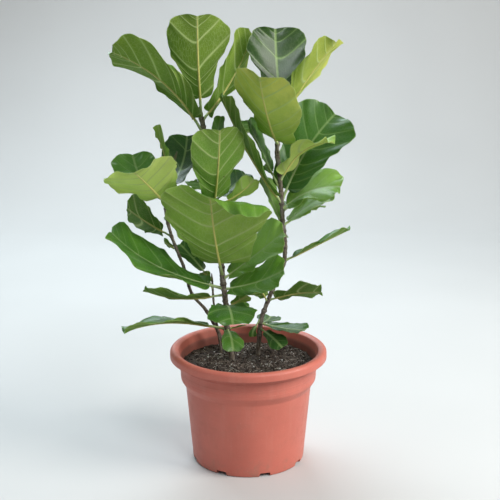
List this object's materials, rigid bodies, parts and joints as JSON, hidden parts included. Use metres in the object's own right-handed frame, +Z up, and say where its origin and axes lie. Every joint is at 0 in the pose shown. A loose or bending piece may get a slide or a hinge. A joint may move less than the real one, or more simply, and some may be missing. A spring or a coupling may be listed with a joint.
{
  "type": "potted fiddle leaf fig",
  "caption": "Fiddle leaf fig with upright stems and large waved, fiddle-shaped leaves, growing in soil in a round plastic nursery pot with a rolled lip.",
  "frame": {"origin": "centre of the pot's flat underside, on the surface that the pot stands on", "axes": "+Z up along the pot's axis, -Y the side that the picture shows as the front, +X to the right of that view"},
  "size_m": [0.4329, 0.3503, 0.7854],
  "materials": {
    "pot": "satin moulded terracotta-coloured plastic",
    "soil": "loose damp potting mix with bark fibres and perlite",
    "bark": "matte grey-brown bark with leaf scars",
    "leaf": "leathery leaf, glossy above and matte with raised veins below"
  },
  "bodies": {
    "root": {"pot": "pot", "soil": "soil", "stem_centre": "bark", "stem_right": "bark", "stem_left": "bark", "stem_shoot": "bark", "leaf_crown_tall": "leaf", "leaf_crown_arch": "leaf", "leaf_crown_edge": "leaf", "leaf_crown_dark": "leaf", "leaf_crown_wing": "leaf", "leaf_crown_front": "leaf", "leaf_mid_band": "leaf", "leaf_mid_sunlit": "leaf", "leaf_mid_glossy": "leaf", "leaf_mid_small": "leaf", "leaf_mid_front": "leaf", "leaf_mid_tip": "leaf", "leaf_mid_shade": "leaf", "leaf_mid_light": "leaf", "leaf_right_curl": "leaf", "leaf_right_great": "leaf", "leaf_right_mid": "leaf", "leaf_right_low": "leaf", "leaf_right_edge": "leaf", "leaf_right_under": "leaf", "leaf_right_under_left": "leaf", "leaf_great_front": "leaf", "leaf_front_sunlit": "leaf", "leaf_front_glossy": "leaf", "leaf_low_sprig": "leaf", "leaf_left_low": "leaf", "leaf_left_folded": "leaf", "leaf_left_skirt": "leaf", "leaf_left_fan": "leaf", "leaf_left_back_point": "leaf", "leaf_left_shade": "leaf", "leaf_left_top_small": "leaf", "leaf_left_dark": "leaf", "leaf_left_scale": "leaf", "leaf_thin_dark": "leaf", "leaf_thin_curl": "leaf", "leaf_lip_leaf": "leaf", "leaf_low_back_right": "leaf", "leaf_foot_leaf": "leaf", "leaf_foot_side": "leaf", "leaf_foot_right_back": "leaf", "leaf_foot_right": "leaf", "leaf_foot_hang": "leaf", "leaf_foot_dark": "leaf", "leaf_back_crown": "leaf", "leaf_back_middle": "leaf", "leaf_back_right_high": "leaf", "leaf_back_right": "leaf", "leaf_back_low": "leaf", "leaf_back_left": "leaf"}
  },
  "joints": []
}
